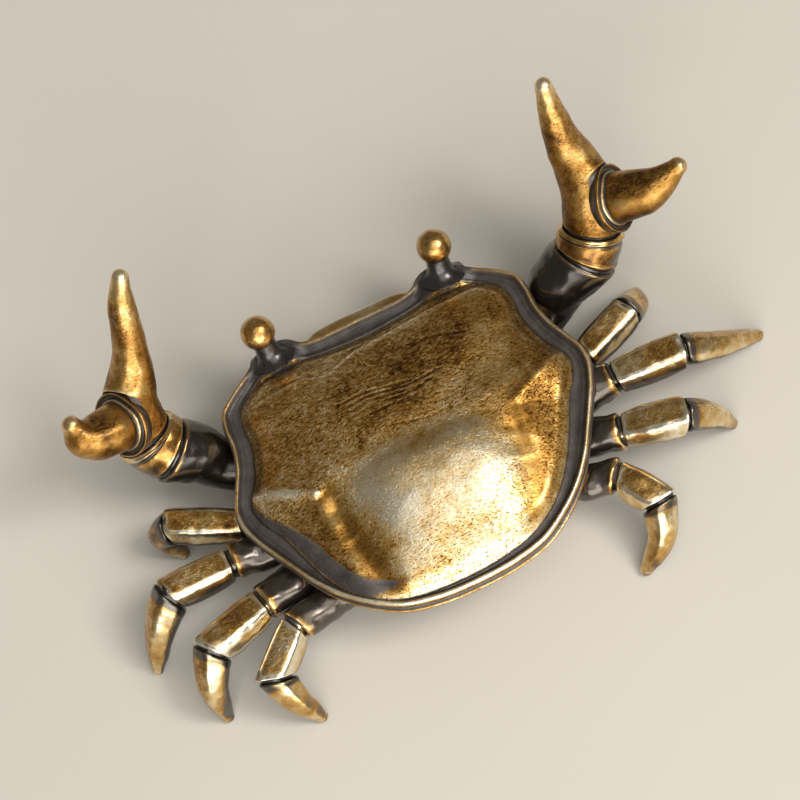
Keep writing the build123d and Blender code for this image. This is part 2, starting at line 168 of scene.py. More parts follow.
def near_line(x, y, start, end, width):
    """The same bell on the shell, seen from above."""
    return near_segment(np.stack([x, y], axis=-1), start, end, width)


def lumps(points, size, seed):
    """Value noise: random values on a cubic lattice of the size, joined by smooth cubics, from -1 to 1."""
    spot = points / size + 137.0
    corner = np.floor(spot).astype(np.int64)
    share = spot - corner
    share = share * share * (3.0 - 2.0 * share)
    total = np.zeros(points.shape[:-1])
    for step in np.ndindex(2, 2, 2):
        place = corner + np.array(step)
        hashed = place[..., 0] * 73856093 ^ place[..., 1] * 19349663 ^ place[..., 2] * 83492791
        hashed = hashed ^ seed * 2654435761
        hashed = (hashed ^ (hashed >> 13)) * 1274126177 & 0x7FFFFFFF
        value = ((hashed ^ (hashed >> 11)) & 0xFFFF) / 32767.5 - 1.0
        weight = np.prod(np.where(np.array(step) == 1, share, 1.0 - share), axis=-1)
        total += weight * value
    return total


def blurred(values, window):
    """The values, each the mean of a window of them."""
    return np.convolve(np.pad(values, window // 2, mode="edge"), np.ones(window) / window, mode="valid")


def lengths_along(points):
    """Distance from the first point to each point, along the chain of them."""
    return np.concatenate([[0.0], np.cumsum(np.linalg.norm(np.diff(points, axis=0), axis=1))])


def between(places, knots, values):
    """Each column of the values at the places, straight between the knots."""
    return np.stack([np.interp(places, knots, column) for column in values.T], axis=-1)


def cubic(points, knots, places):
    """Points at the places on a cubic curve whose slope at each knot follows its two neighbours."""
    slopes = np.gradient(points, knots, axis=0)
    span = np.clip(np.searchsorted(knots, places, side="right") - 1, 0, len(points) - 2)
    width = np.diff(knots)[span][:, None]
    share = (places - knots[span])[:, None] / width
    square, cube = share ** 2, share ** 3
    return (
        (2 * cube - 3 * square + 1) * points[span]
        + (cube - 2 * square + share) * width * slopes[span]
        + (3 * square - 2 * cube) * points[span + 1]
        + (cube - square) * width * slopes[span + 1]
    )


def curve_through(points, count):
    """Points at even steps on the cubic curve through the given points, and their distances along it."""
    points = np.asarray(points, float)
    knots = lengths_along(points)
    fine = cubic(points, knots, np.linspace(0.0, knots[-1], count * 4))
    lengths = lengths_along(fine)
    even = np.linspace(0.0, lengths[-1], count)
    return between(even, lengths, fine), even


# Mesh helpers
def placed(name, data):
    """Adds an object with the data to the scene."""
    made = bpy.data.objects.new(name, data)
    bpy.context.scene.collection.objects.link(made)
    return made


def surface(solid, rows, worn, sunk, pitted, finish):
    """The casting that takes a solid's place: a closed skin over rings of points, with quads between
    neighbouring rings and a fan at each end's middle. rows is an array of rings by points by 3. worn, sunk
    and pitted hold a value for each point, for each ring or for all.
    """
    name = f"{solid}_casting"
    count, around = rows.shape[:2]
    ends = np.stack([rows[0].mean(axis=0), rows[-1].mean(axis=0)])
    points = np.concatenate([rows.reshape(-1, 3), ends]) - MIDDLE
    ring = np.arange(count - 1)[:, None] * around
    spoke = np.arange(around)
    following = (spoke + 1) % around
    corners = [ring + spoke, ring + following, ring + around + following, ring + around + spoke]
    quads = np.stack(corners, axis=-1).reshape(-1, 4)
    last_ring = (count - 1) * around
    bottom = np.stack([np.full(around, count * around), following, spoke], axis=-1)
    top = np.stack([np.full(around, count * around + 1), spoke + last_ring, following + last_ring], axis=-1)
    triangles = np.concatenate([bottom, top])
    mesh = bpy.data.meshes.new(name)
    mesh.vertices.add(len(points))
    mesh.vertices.foreach_set("co", (points * MILLIMETRE).astype(np.float32).ravel())
    mesh.loops.add(quads.size + triangles.size)
    loops = np.concatenate([quads.ravel(), triangles.ravel()])
    mesh.loops.foreach_set("vertex_index", loops.astype(np.int32))
    mesh.polygons.add(len(quads) + len(triangles))
    starts = np.concatenate([np.arange(len(quads)) * 4, quads.size + np.arange(len(triangles)) * 3])
    mesh.polygons.foreach_set("loop_start", starts.astype(np.int32))
    mesh.polygons.foreach_set("use_smooth", np.ones(len(starts), bool))
    mesh.update(calc_edges=True)
    mesh.validate()
    for label, values in (("wear_and_painted_light", worn), ("recess_and_painted_shade", sunk), ("pitted", pitted)):
        values = np.broadcast_to(values, (count, around))
        whole = np.concatenate([values.ravel(), [values[0].mean(), values[-1].mean()]])
        attribute = mesh.attributes.new(label, "FLOAT", "POINT")
        attribute.data.foreach_set("value", whole.astype(np.float32))
    mesh.materials.append(BRASS[finish])
    piece = placed(name, mesh)
    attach(piece, "root")
    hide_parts(solid)


def normals(rows):
    """Outward directions of a ringed skin, from the cross product of its two directions of travel."""
    across = np.gradient(rows, axis=0)
    around = np.roll(rows, -1, axis=1) - np.roll(rows, 1, axis=1)
    return unit(np.cross(around, across))


def standing(rows, passes):
    """How far each point stands out of the middle of its neighbours, which widen with the passes."""
    soft = rows.copy()
    for _ in range(passes):
        padded = np.concatenate([soft[:1], soft, soft[-1:]])
        soft = (padded[:-2] + padded[2:] + np.roll(soft, 1, axis=1) + np.roll(soft, -1, axis=1)) / 4.0
    return np.sum((rows - soft) * normals(rows), axis=-1)


def flats(angles, cuts, sharp=14.0):
    """Radius of a unit circle with flats: the soft least of the circle and of each flat's straight side."""
    total = np.ones_like(angles)
    for middle, height in cuts:
        facing = np.cos(angles - math.radians(middle))
        side = np.where(facing > 0.05, height / np.maximum(facing, 0.05), 20.0)
        total = total + side ** -sharp
    return total ** (-1.0 / sharp)


def sweep(path, distances, radii, cuts=(), start_normal=None, end_normal=None, around=96, mitre=2.2, calm=0):
    """Rings carried along a path: at each distance a round section with flats, on a plane that leans to the
    joint's plane near either end. calm evens out the headings over that many steps to both sides. Returns the
    rings and the angle of each point.
    """
    line, even = curve_through(path, 240)
    length = even[-1]
    heading = unit(np.gradient(line, axis=0))
    heading = unit(np.stack([blurred(column, 2 * calm + 1) for column in heading.T], axis=-1))
    held = np.clip(distances, 0.0, length)
    ahead = unit(between(held, even, heading))
    centres = between(held, even, line) + ahead * (distances - held)[:, None]
    up = np.array([0.0, 0.0, 1.0])
    frames = []
    for direction in ahead:
        up = unit(up - direction * (up @ direction))
        frames.append(up)
    upward = np.array(frames)
    sideways = np.cross(upward, ahead)
    angles = np.linspace(0.0, 2.0 * math.pi, around, endpoint=False)
    spread = radii[:, None] * flats(angles, cuts)
    offset = (
        (spread * np.cos(angles))[..., None] * sideways[:, None, :]
        + (spread * np.sin(angles))[..., None] * upward[:, None, :]
    )
    plane = ahead.copy()
    if start_normal is not None:
        lean = (1.0 - smooth(distances, 0.0, mitre))[:, None]
        plane = unit(plane * (1 - lean) + start_normal * lean)
    if end_normal is not None:
        lean = smooth(distances, length - mitre, length)[:, None]
        plane = unit(plane * (1 - lean) + end_normal * lean)
    slide = -np.sum(offset * plane[:, None, :], axis=-1) / np.sum(ahead * plane, axis=-1)[:, None]
    return centres[:, None, :] + offset + slide[..., None] * ahead[:, None, :], angles


def neck_and_round(width, neck, groove, edge, steps):
    """Start of a casting's profile: a neck that begins inside the neighbour, then a quarter round."""
    turn = np.linspace(0.0, math.pi / 2, steps)
    distance = np.concatenate([[-0.35, -0.34, 0.0, groove * 0.7], groove + edge * (1 - np.cos(turn))])
    radius = np.concatenate([[CLOSED, neck, neck, neck], neck + (width - neck) * np.sin(turn)])
    return distance, radius


def rounded_tip(length, width, tip):
    """End of a casting's profile: a tip that rounds off over its own length."""
    turn = np.linspace(0.0, math.pi / 2, 10)[1:] * NEAR_POLE
    return length + tip * np.sin(turn), width * np.cos(turn)


def lipped(length, width, edge, drop, last, steps):
    """Profile of a casting that starts inside the body: widths at even steps, a lip that rolls inward."""
    body = np.linspace(0.0, length - edge, len(width))
    turn = np.linspace(0.0, math.pi / 2, steps)[1:]
    lip = length - edge + edge * np.sin(turn)
    distance = np.concatenate([[0.0], body, lip, [length - 0.1, length - 0.15]])
    rolled = width[-1] - drop * (1 - np.cos(turn))
    return distance, np.concatenate([[CLOSED], width, rolled, [last, CLOSED]])


def barrel(length, neck, radii, tip_neck, groove, edge, rows=60):
    """Profile of a limb casting between two joints, as distances and radii: its neck and quarter round, the
    body's own swelling, and a lip that rolls into the next socket.
    """
    foot, middle, end = radii
    start, rise = neck_and_round(foot, neck, groove, edge, 9)
    body = np.linspace(groove + edge, length - edge, rows)[1:]
    share = (body - body[0]) / (body[-1] - body[0])
    swollen = 2 * middle - (foot + end) / 2
    width = foot * (1 - share) ** 2 + 2 * swollen * share * (1 - share) + end * share ** 2
    turn = np.linspace(0.0, math.pi / 2, 9)[1:]
    lip = length - edge + edge * np.sin(turn)
    distance = np.concatenate([start, body, lip, [length - 0.25, length - 0.3]])
    rolled = end - (end - tip_neck) * (1 - np.cos(turn))
    return distance, np.concatenate([rise, width, rolled, [tip_neck * 0.92, CLOSED]])


def tapered(length, groove, neck, places, widths, tip, edge=0.3, rows=72, blur=9):
    """Profile of a casting with a rounded tip: its neck and quarter round, a softly joined taper, the tip."""
    body = np.linspace(groove + edge, length, rows)[1:]
    width = blurred(np.interp(body / length, places, widths), blur)
    start, rise = neck_and_round(width[0], neck, groove, edge, 10)
    end, fall = rounded_tip(length, width[-1], tip)
    return np.concatenate([start, body, end]), np.concatenate([rise, width, fall])


def joint_normal(before, joint, after):
    """Direction of the plane that halves the bend of a limb at a joint."""
    return unit(unit(joint - before) + unit(after - joint))


# Finishes
def node(tree, kind, inputs=(), **settings):
    """Adds a shader node, sets its properties, and gives each input its value or the socket that feeds it."""
    made = tree.nodes.new(kind)
    for label, value in settings.items():
        setattr(made, label, value)
    for label, value in dict(inputs).items():
        if isinstance(value, bpy.types.NodeSocket):
            tree.links.new(value, made.inputs[label])
        else:
            made.inputs[label].default_value = value
    return made


def maths(tree, operation, first, *others):
    """Adds Math nodes that apply the operation to sockets and numbers, from the first on."""
    for value in others:
        first = node(tree, "ShaderNodeMath", {0: first, 1: value}, operation=operation).outputs[0]
    return first


def grain(tree, place, scale, detail, rough, stretch=None):
    """Noise on the piece's own coordinates, which are turned and scaled first if a stretch is given."""
    if stretch is not None:
        turned = {"Vector": place, "Rotation": stretch[0], "Scale": stretch[1]}
        place = node(tree, "ShaderNodeMapping", turned).outputs["Vector"]
    settings = {"Vector": place, "Scale": scale, "Detail": detail, "Roughness": rough}
    return node(tree, "ShaderNodeTexNoise", settings).outputs["Fac"]


def off_middle(tree, value, gain):
    """How far a noise lies off its middle, times the gain."""
    return maths(tree, "MULTIPLY", maths(tree, "SUBTRACT", value, 0.5), gain)


def ranged(tree, value, low, high, start, end, kind="LINEAR"):
    """Adds a node that takes low to start and high to end."""
    limits = {"Value": value, "From Min": low, "From Max": high, "To Min": start, "To Max": end}
    return node(tree, "ShaderNodeMapRange", limits, interpolation_type=kind).outputs["Result"]


def mixed(tree, share, first, second):
    """Adds a node that mixes two colours."""
    colours = {"Factor": share, "A": first, "B": second}
    return node(tree, "ShaderNodeMix", colours, data_type="RGBA").outputs["Result"]


def colour_ramp(tree, value, stops):
    """Adds a colour ramp with the stops."""
    ramp = node(tree, "ShaderNodeValToRGB", {"Fac": value})
    elements = ramp.color_ramp.elements
    while len(elements) < len(stops):
        elements.new(0.5)
    for element, (spot, colour) in zip(elements, stops):
        element.position = spot
        element.color = (*colour, 1.0)
    return ramp.outputs["Color"]


TARNISH_STOPS = (
    (0.0, (0.030, 0.014, 0.005)),
    (0.22, (0.130, 0.056, 0.010)),
    (0.42, (0.400, 0.200, 0.040)),
    (0.60, (0.600, 0.380, 0.126)),
    (0.77, (0.780, 0.610, 0.350)),
    (0.90, (0.870, 0.760, 0.540)),
    (1.0, (0.920, 0.830, 0.640)),
)
# Tone, pits, blotches, roughness of tarnish and of bare metal, bump in metres, the patina's colour and how
# metallic it is, the clear coating
FINISHES = {
    "shell_brass": (0.535, 1.5, 0.80, (0.42, 0.30), 0.00004, (0.086, 0.070, 0.060), 0.5, 0.04),
    "limb_brass": (0.66, 1.0, 1.1, (0.28, 0.24), 0.00004, (0.100, 0.086, 0.072), 0.9, 0.45),
    "claw_brass": (0.60, 1.3, 1.0, (0.44, 0.34), 0.00005, (0.090, 0.076, 0.064), 0.8, 0.20),
    "eye_brass": (0.58, 0.7, 0.9, (0.26, 0.24), 0.00003, (0.075, 0.066, 0.062), 0.8, 0.40),
    "dark_brass": (0.32, 0.6, 1.0, (0.24, 0.22), 0.00005, (0.070, 0.056, 0.042), 0.8, 0.60),
}


def brass(name, level, pits, blotches, gloss, bump_depth, patina, metallic, coating):
    """Antique brass: a tone from brown tarnish to bare metal, from the mesh's worn marks and painted light,
    broad blotches and fine pits, then covered with dark patina where the mesh is marked as recessed and where
    shade is painted. The same values drive the gloss, how metallic it is, and the bump.
    """
    material = bpy.data.materials.new(name)
    material.use_nodes = True
    tree = material.node_tree
    tree.nodes.clear()
    place = node(tree, "ShaderNodeTexCoord").outputs["Object"]
    # The worn mark carries painted light as well as wear, the recessed mark painted shade as well as recesses
    worn, sunk, pitted = (
        node(tree, "ShaderNodeAttribute", attribute_name=label).outputs["Fac"]
        for label in ("wear_and_painted_light", "recess_and_painted_shade", "pitted")
    )

    # Blotches, patches, streaky grain and specks, from broad to fine
    broad = grain(tree, place, 240.0, 3.0, 0.55)
    patch = grain(tree, place, 900.0, 5.0, 0.62)
    fine = grain(tree, place, 3600.0, 3.0, 0.65, stretch=((0.0, 0.0, 0.2), (0.65, 1.4, 1.0)))
    speck = grain(tree, place, 6200.0, 2.0, 0.5, stretch=((0.0, 0.0, 0.3), (0.6, 1.4, 1.0)))
    hole = ranged(tree, speck, 0.34, 0.45, -0.45 * pits, 0.0, "SMOOTHSTEP")
    holes = maths(tree, "MULTIPLY", hole, pitted)
    streaky = maths(tree, "MULTIPLY", off_middle(tree, fine, pits), pitted)
    clouded = off_middle(tree, patch, blotches * 0.6)
    tone = maths(tree, "ADD", off_middle(tree, broad, blotches), level, clouded, streaky, holes, worn)
    tone = maths(tree, "SUBTRACT", tone, maths(tree, "MULTIPLY", sunk, 0.45))

    # Patina: where it lies, thinner on worn tones and ragged at its edge, and how thin it is, darkest where
    # the recessed mark, painted shade included, is highest
    bright = maths(tree, "MULTIPLY", maths(tree, "SUBTRACT", tone, 0.45), -0.35)
    cover = maths(tree, "ADD", sunk, bright, off_middle(tree, patch, 0.5))
    covered = ranged(tree, cover, 0.30, 0.52, 0.0, 1.0, "SMOOTHSTEP")
    thin = maths(tree, "ADD", maths(tree, "MULTIPLY", sunk, -1.6), 1.45, off_middle(tree, patch, 1.4))
    deepest, palest = ((*(share * value for value in patina), 1.0) for share in (0.45, 1.55))
    bare = colour_ramp(tree, tone, TARNISH_STOPS)
    height = maths(tree, "ADD", maths(tree, "MULTIPLY", fine, pitted, 0.8), patch)
    height = maths(tree, "ADD", height, maths(tree, "MULTIPLY", holes, 0.9))
    raised = node(tree, "ShaderNodeBump", {"Height": height, "Strength": 1.0, "Distance": bump_depth})
    shader = node(tree, "ShaderNodeBsdfPrincipled", {
        "Base Color": mixed(tree, covered, bare, mixed(tree, thin, deepest, palest)),
        "Roughness": ranged(tree, tone, 0.1, 0.9, *gloss),
        "Metallic": ranged(tree, covered, 0.0, 1.0, 1.0, metallic),
        "Normal": raised.outputs["Normal"],
        "IOR": 1.7, "Coat Weight": coating, "Coat Roughness": 0.16,
    })
    node(tree, "ShaderNodeOutputMaterial", {"Surface": shader.outputs[0]})
    return material


BRASS = {name: brass(name, *values) for name, values in FINISHES.items()}


# Shell
# Section of the rim from its underside over the outer edge and the top to the moat: inset and height
RIM_SECTION = (
    (1.2, RIM_FOOT), (0.30, RIM_FOOT), (0.10, 7.12), (0.02, 7.18), (0.0, 7.27), (0.02, 7.36), (0.08, 7.42),
    (0.12, 7.46), (0.10, 7.52), (0.07, 7.60), (0.08, 7.69), (0.12, 7.79), (0.18, 7.88), (0.26, 7.95),
    (0.35, 7.985), (0.43, 7.97), (0.50, 7.91), (0.57, 7.82), (0.64, 7.72), (0.72, 7.62), (0.84, 7.56),
    (1.0, MOAT_FLOOR),
)
# Numbers of the rings at the rim's outermost edge and at the groove above it, counted from the underside
EDGE_RING, GROOVE_RING = 8, 12
LUG_TOP = 8.02
# Top of the rear boss seen from above, and how far its foot lies to the sides, behind and in front
BOSS_TOP = (0.3, -5.6)
BOSS_FOOT = (8.6, 10.6, 4.2)
# Where the crest meets the boss, and the valley beside the boss, on the right half
CREST_END, VALLEY_BEND, VALLEY_END = (10.0, -4.0), (8.5, -9.8), (7.4, -15.0)
# Scored streaks on the dome: start, end and depth
STREAKS = (
    ((-5.0, 2.9), (2.0, 2.0), 0.9), ((-3.9, 2.2), (4.8, 1.5), 1.0), ((-4.4, 1.7), (1.5, 1.3), 0.6),
    ((-0.8, 0.9), (3.9, 1.1), 0.8), ((-2.5, 0.3), (2.2, 0.4), 0.5), ((1.4, 6.0), (5.0, 4.9), 0.5),
    ((3.0, 5.2), (8.4, 4.3), 0.7), ((-1.0, -1.6), (3.4, -2.2), 0.4), ((-6.0, 4.1), (-2.8, 3.6), 0.5),
)


def closed_loop(half):
    """The whole outline from its right half, clockwise from the front, as a fine closed cubic curve."""
    left = half[1:-1][::-1] * np.array([-1.0, 1.0])
    loop = np.concatenate([half, left])
    padded = np.concatenate([loop[-3:], loop, loop[:4]])
    knots = lengths_along(padded)
    return cubic(padded, knots, np.linspace(knots[3], knots[3 + len(loop)], 1600, endpoint=False))


def reach(loop, angles, inset=0.0):
    """Distance from the shell's centre to the outline at each angle, the outline drawn in by the inset."""
    along = unit(np.roll(loop, -4, axis=0) - np.roll(loop, 4, axis=0))
    arm = loop + np.stack([along[:, 1], -along[:, 0]], axis=-1) * inset - SHELL_CENTRE
    turn = np.arctan2(arm[:, 1], arm[:, 0])
    order = np.argsort(turn)
    return np.interp(angles, turn[order], np.hypot(arm[:, 0], arm[:, 1])[order], period=2 * math.pi)


def turned_about(count):
    """Angles of the points on a ring about the shell's centre, and the direction of each."""
    angles = np.linspace(-math.pi, math.pi, count, endpoint=False)
    return angles, np.stack([np.cos(angles), np.sin(angles)], axis=-1)


def stacked(rings):
    """Radii, heights, worn and recessed marks as arrays of rings by points, from the four of each ring."""
    return np.stack([np.broadcast_arrays(*ring) for ring in rings], axis=1)


def boss_share(x, y):
    """0 at the top of the rear boss and 1 at its foot."""
    aside, behind, ahead = BOSS_FOOT
    across = np.abs(x - BOSS_TOP[0]) / aside
    along = np.where(y < BOSS_TOP[1], (BOSS_TOP[1] - y) / behind, (y - BOSS_TOP[1]) / ahead)
    return np.sqrt(across ** 3.4 + np.abs(along) ** 1.8)


def dome_height(x, y, share, inward):
    """Height of the dome above the moat's floor: a soft-edged crown and the boss that slopes to the rear,
    joined by a soft greater of the two, a crest from each side point to the boss with a hollow behind it, and
    the front's step.
    """
    crown = 3.30 * np.clip(1.0 - share ** 2.2, 0.0, 1.0) ** 0.58
    crown = crown * (0.62 + 0.38 * smooth(inward, 0.0, 1.2)) - 0.10 * smooth(y, 2.0, 8.0)
    mound = boss_share(x, y)
    boss = 0.15 + 3.72 * np.clip(1.0 - mound ** 2, 0.0, 1.0) ** 0.80
    tight = 3.0
    height = np.log(np.exp(tight * crown) + smooth(1.0 - mound, 0.0, 0.12) * np.exp(tight * boss)) / tight
    side = np.abs(x)
    crest = np.maximum(
        near_line(side, y, (15.2, -1.0), CREST_END, 0.62),
        near_line(side, y, CREST_END, (9.5, -7.4), 0.7) * 0.40,
    )
    hollow = np.maximum(
        near_line(side, y, (8.9, -6.4), VALLEY_BEND, 1.1) * 0.7,
        near_line(side, y, VALLEY_BEND, VALLEY_END, 1.2) * 0.9,
    )
    calmer = 1.0 - 0.5 * smooth(x, 0.0, 5.0)
    off_edge = smooth(inward, 0.2, 1.6)
    height = height + calmer * (0.46 * crest - 0.62 * hollow * off_edge)
    height = height - 0.30 * near_line(side, y, (13.0, -5.5), (11.0, -10.5), 1.7) * off_edge
    step_line = 7.9 + 0.06 * x - 1.1 * bump(x, -4.6, 2.0)
    step = smooth(y, step_line - 0.22, step_line + 0.12) * smooth(13.0 - side, 0.0, 3.0)
    return height - 0.26 * smooth(y, 3.0, 6.0) * step


def dome_marks(x, y, inward, streaks):
    """The dome's worn, recessed and pitted marks: worn edge, crests, brow line and boss, the boss partly a
    painted highlight; painted shade at the front, along the foot and on the foot slope on the left; and fewer
    pits on the boss and in the valley beside it.
    """
    side = np.abs(x)
    edge = bump(inward, 0.34, 0.26)
    crest = near_line(side, y, (15.0, -1.1), CREST_END, 0.42) * (1.0 - 0.85 * smooth(x, 0.0, 5.0))
    brow = near_line(x, y, (-3.6, 7.1), (9.6, 8.1), 0.26)
    # Painted shade: darker patches on the dome's front middle and front right
    painted_shade = 0.12 * bump(y, 2.6, 4.2) * bump(x, 3.4, 5.4) + 0.04 * bump(x, 11.5, 2.2) * bump(y, 6.0, 2.4)
    tail = smooth(-y, 10.0, 13.0) * (1.0 - smooth(np.abs(x - BOSS_TOP[0]), 5.5, 8.0))
    boss = np.maximum(1.0 - smooth(boss_share(x, y), 0.50, 1.02), 0.60 * tail)
    valley = np.maximum(
        near_line(side, y, (9.4, -5.0), VALLEY_BEND, 1.3), near_line(side, y, VALLEY_BEND, VALLEY_END, 1.3)
    )
    foot_line = bump(inward, 0.10, 0.07) * smooth(-y, 2.0, 7.0)
    # Painted shade on the dome's foot slope on the left, widening towards the rear
    width = 0.5 + 1.5 * smooth(-y, 1.0, 9.0)
    slope = (1.0 - smooth(inward / width, 0.55, 1.1)) * smooth(-x, 0.0, 6.0)
    slope = slope * smooth(-y, -0.5, 3.0) * (1.0 - 0.9 * smooth(-y, 13.5, 16.0))
    # The boss's worn mark is partly wear of its high top and partly a painted highlight, lighter towards the
    # rear
    worn = 0.16 * edge + 0.24 * crest + 0.14 * brow + 0.35 * boss * (0.5 + 0.5 * smooth(-y, 3.5, 9.0))
    worn = worn + 0.30 * foot_line - 0.06 * valley - painted_shade - 0.26 * streaks
    worn = worn - 0.12 * slope - 0.10 * smooth(x, 8.0, 11.0) * smooth(-y, 0.0, 3.0)
    # Painted shade goes into the recessed mark: the left foot slope and the corner along the dome's foot
    sunk = 0.66 * slope * (1.0 - foot_line) + 0.30 * bump(inward, 0.0, 0.10)
    sunk = sunk + 0.40 * near_line(x, y, (-8.3, 8.8), (-4.8, 8.0), 0.6)
    pitted = (1.0 - 0.62 * boss) * (1.0 - 0.75 * valley) * (1.0 - 0.35 * smooth(x, 7.0, 10.0))
    return worn, sunk, pitted


def rim_and_moat(angles, heading, foot):
    """Rings of the carapace up to the dome's foot: underside, rounded outer wall and worn rim, moat."""
    rim = closed_loop(RIM_HALF)
    rear = smooth(-heading[:, 1], 0.35, 0.9)
    flank = 1.0 - smooth(heading[:, 1], 0.35, 0.75)
    front = smooth(heading[:, 1], 0.55, 0.85)
    inner = reach(rim, angles, RIM_SECTION[0][0])
    rings = [(inner * share, RIM_FOOT, 0.0, 0.5) for share in (0.03, 0.5, 0.8, 0.97)]
    for inset, height in RIM_SECTION:
        shelf = 0.34 * rear * smooth(height, 7.40, 7.56) * (inset < 0.9)
        bead = bump(inset, 0.26, 0.2) * smooth(height, 7.70, 7.96)
        groove = bump(height, 7.47, 0.05) * (inset < 0.2)
        worn = (0.06 + 0.12 * flank + 0.12 * rear) * bead - 0.04 * rear * (inset < 0.45)
        sunk = 0.60 - (0.34 + 0.16 * flank) * bead - 0.50 * rear * (inset < 0.5) + 0.45 * groove
        rings.append((reach(rim, angles, inset) - shelf, height, worn, sunk))
    edge = rings[-1][0]
    for share in np.linspace(0.0, 1.0, 11)[1:]:
        floor = MOAT_FLOOR - 0.06 * math.sin(math.pi * share)
        # Patina in the moat, darkened towards both edges as painted shade in its corners, and darker towards
        # the front
        sunk = 0.56 + 0.30 * bump(share, 0.0, 0.25) + 0.2 * bump(share, 1.0, 0.12) + 0.16 * front
        rings.append((edge * (1 - share) + (foot + 0.02) * share, floor, 0.0, sunk))
    return stacked(rings)


def make_shell():
    """Carapace as rings about its middle: underside, rim, moat and dome, raised at the eyes' lugs. Above the
    rim's outermost edge, standing edges are worn and hollows are dark.
    """
    angles, heading = turned_about(680)
    foot = reach(closed_loop(DOME_HALF), angles) + bump(angles, -2.35, 0.45)
    radii, levels, worn, sunk = rim_and_moat(angles, heading, foot)
    insets = np.concatenate([[0.05, 0.12, 0.2, 0.3, 0.42, 0.56, 0.72, 0.9, 1.1], np.linspace(1.3, 5.0, 24)])
    outer = foot - insets[:, None]
    domed = np.concatenate([outer, outer[-1] * np.linspace(1.0, 0.02, 66)[1:, None]])
    inward = foot - domed
    x = domed * heading[:, 0] + SHELL_CENTRE[0]
    y = domed * heading[:, 1] + SHELL_CENTRE[1]
    spots = np.stack([x, y, np.zeros_like(x)], axis=-1)
    soft = lumps(spots, 2.6, 3) * 0.05 + lumps(spots, 1.1, 5) * 0.018
    streaks = np.zeros_like(x)
    for start, end, depth in STREAKS:
        streaks = np.maximum(streaks, depth * near_line(x, y + 0.18 * np.sin(x * 0.9), start, end, 0.13))
    height = dome_height(x, y, domed / foot, inward) + soft * smooth(inward, 0.2, 1.5) - 0.07 * streaks
    dome_worn, dome_sunk, dome_pitted = dome_marks(x, y, inward, streaks)
    pitted = np.concatenate([np.full_like(worn, 0.3), dome_pitted])
    radii = np.concatenate([radii, domed])
    levels = np.concatenate([levels, height + MOAT_FLOOR])
    worn = np.concatenate([worn, dome_worn])
    sunk = np.concatenate([sunk, dome_sunk])

    flat = SHELL_CENTRE + radii[..., None] * heading
    lug = np.minimum(*(
        np.hypot(flat[..., 0] - seat[0], (flat[..., 1] - seat[1]) * 1.15) for seat, _ in EYES.values()
    ))
    ring = np.arange(len(levels))[:, None]
    on_lug = (ring > GROOVE_RING) & (flat[..., 1] > 9.4)
    levels = levels + on_lug * np.maximum(LUG_TOP - levels, 0.0) * (1.0 - smooth(lug, 1.9, 3.4))
    rows = np.concatenate([flat, levels[..., None]], axis=-1)
    sharp = standing(rows, 3) * 9.0
    upper = ring > EDGE_RING
    worn = worn + upper * 0.8 * np.clip(sharp, 0.0, 0.3)
    sunk = sunk + upper * (0.8 * np.clip(-sharp, 0.0, 0.3) + 0.34 * (1.0 - smooth(lug, 1.8, 3.2)))
    surface("carapace", rows, worn, sunk, pitted, "shell_brass")


# Limbs
LEG_GROOVE = 0.32
WRIST_GROOVE = 0.26
PALM_GROOVE = 0.3
# Places that keep the marks of a groove or of an outer lip off a casting that has none
NO_GROOVE, NO_LIP = -3.0, 99.0


def worked(rows, amount, seed, size=1.3):
    """The rings with a hand-finished casting's unevenness: soft lumps of two sizes along the normals."""
    uneven = lumps(rows, size, seed) + 0.5 * lumps(rows, size * 0.45, seed + 1)
    return rows + normals(rows) * (uneven * amount)[..., None]


def marks(rows, distances, groove, length, level=0.0, end_ring=0.16, start_ring=0.14, dark=0.30,
          shaded=(-0.1, 0.55)):
    """Worn marks on the piece's standing edges and its two lips; recessed marks in its necks and hollows, and
    on faces that look down or sideways: patina that stays there, and painted shade.
    """
    stand = standing(rows, 4) * 6.0
    distance = distances[:, None]
    worn = np.clip(stand, 0.0, 0.35) + level + start_ring * bump(distance, groove + 0.24, 0.16)
    worn = worn + end_ring * bump(distance, length - 0.15, 0.16)
    # Faces that look down or sideways get patina and painted shade
    sunk = np.clip(-stand, 0.0, 0.3) + dark * (1.0 - smooth(normals(rows)[..., 2], *shaded))
    sunk = sunk + 0.60 * (1.0 - smooth(distance, groove - 0.05, groove + 0.18))
    return worn, sunk


def facet(angles, distances, half, start, end, radius):
    """How far inside the filed top of a shank each point lies; negative outside it."""
    rounding = 0.35
    aside = np.abs((angles - math.pi / 2 + math.pi) % (2 * math.pi) - math.pi) * radius
    along = np.minimum(distances - start, end - distances)[:, None]
    return rounding - np.hypot(np.maximum(aside - half + rounding, 0.0), np.maximum(rounding - along, 0.0))


def make_root(name, ends, plane, wide, seed):
    """A leg's lumpy root under the rim: it starts inside the body, widens outward and ends in a lip."""
    length = np.linalg.norm(ends[1] - ends[0])
    share = np.linspace(0.0, 1.0, 60)
    width = 1.45 + (wide - 1.45) * share + 0.16 * bump(share, 0.62, 0.22)
    distance, radius = lipped(length, width, 0.3, 0.26, width[-1] - 0.36, 8)
    rows, _ = sweep(ends, distance, radius, end_normal=plane)
    rows = worked(rows, 0.17, seed, 1.7)
    worn, sunk = marks(rows, distance, NO_GROOVE, length, start_ring=0.0, dark=0.10, end_ring=0.30)
    sunk = sunk + 0.44 - 0.30 * bump(distance, length - 0.25, 0.3)[:, None]
    surface(f"{name}_root", rows, worn, sunk, 0.0, "dark_brass")


